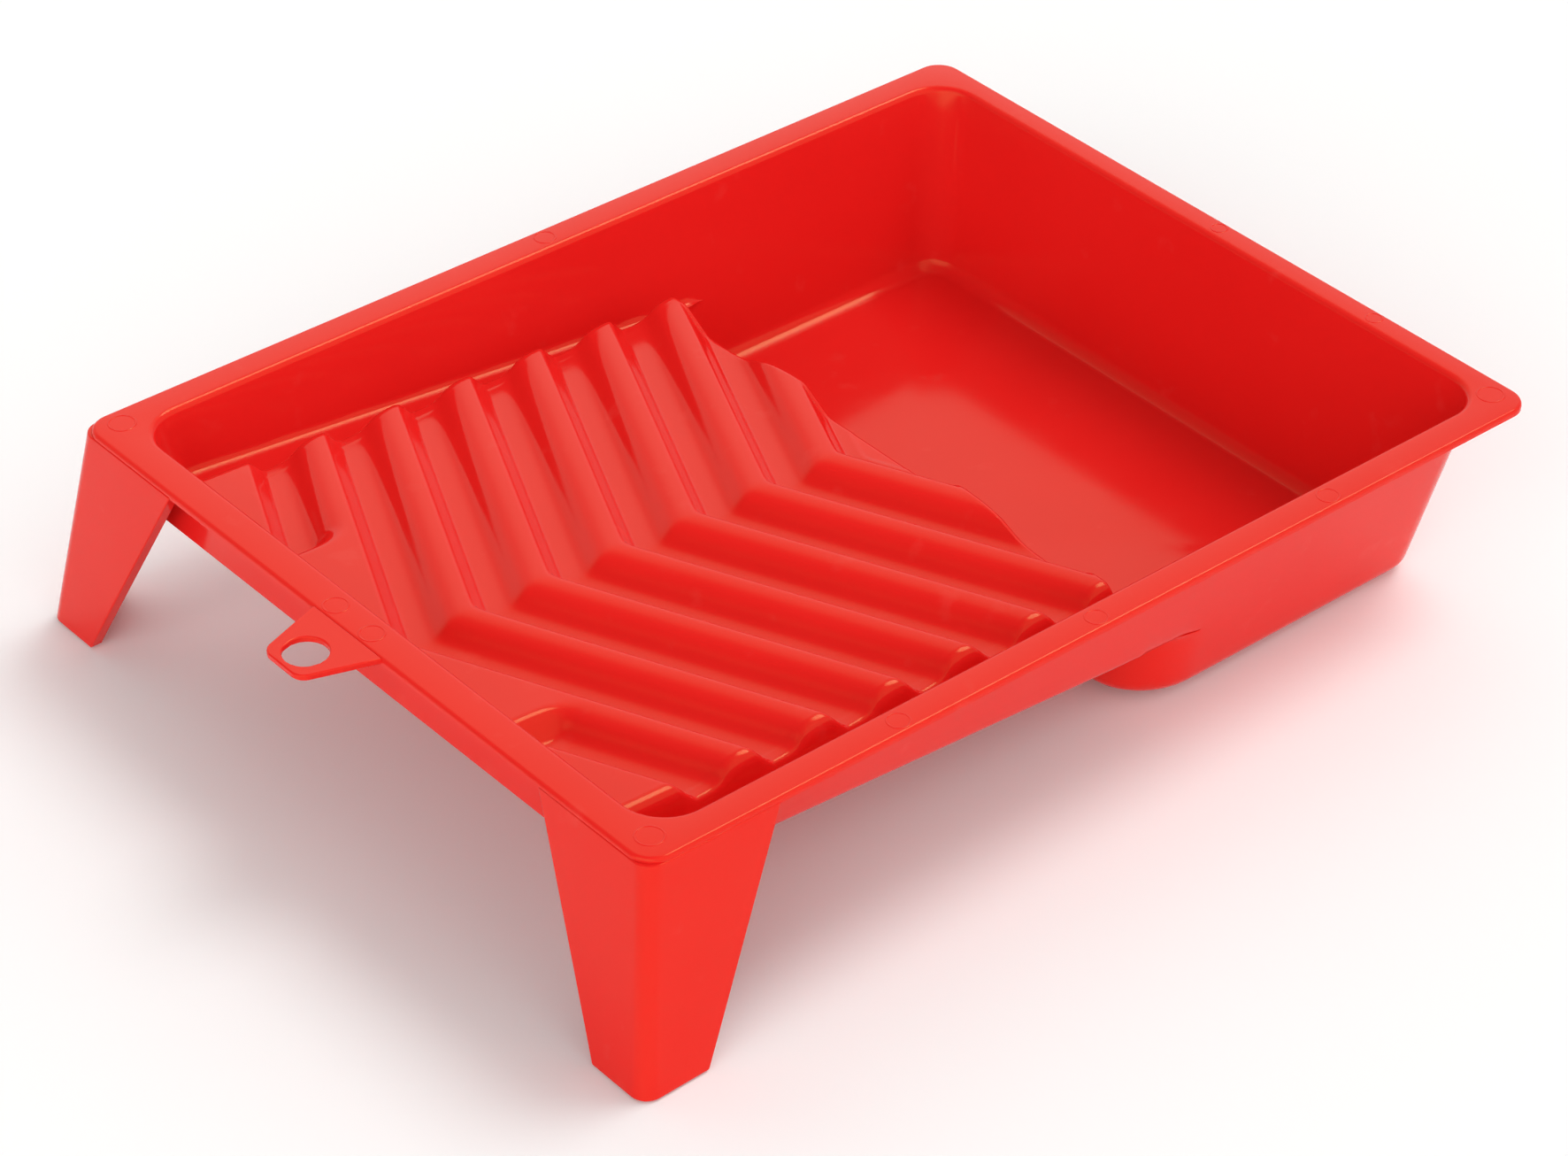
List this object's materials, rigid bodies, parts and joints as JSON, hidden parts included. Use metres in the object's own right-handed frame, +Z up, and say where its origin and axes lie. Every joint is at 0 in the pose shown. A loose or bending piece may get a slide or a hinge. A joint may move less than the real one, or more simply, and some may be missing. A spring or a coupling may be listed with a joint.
{
  "type": "paint roller tray",
  "caption": "Shallow rectangular paint roller tray with a deep well at one end, a V-ribbed ramp, a flat rim, splayed angle legs and a hanging tab with a hole.",
  "frame": {"origin": "on the floor plane that the feet and the well's rear bottom edge stand on, under the middle of the overall box", "axes": "+Z up, +Y from the legs and hanging tab towards the well, +X to the right when looking along +Y"},
  "size_m": [0.2814, 0.3578, 0.0699],
  "materials": {
    "red_plastic": "satin-gloss, moulded in one colour"
  },
  "bodies": {
    "root": {"rim_flange": "red_plastic", "front_wall": "red_plastic", "side_wall_right": "red_plastic", "side_wall_left": "red_plastic", "well_wall": "red_plastic", "well_pan": "red_plastic", "ramp_panel": "red_plastic", "leg_right": "red_plastic", "leg_left": "red_plastic", "hanging_tab": "red_plastic"}
  },
  "joints": []
}
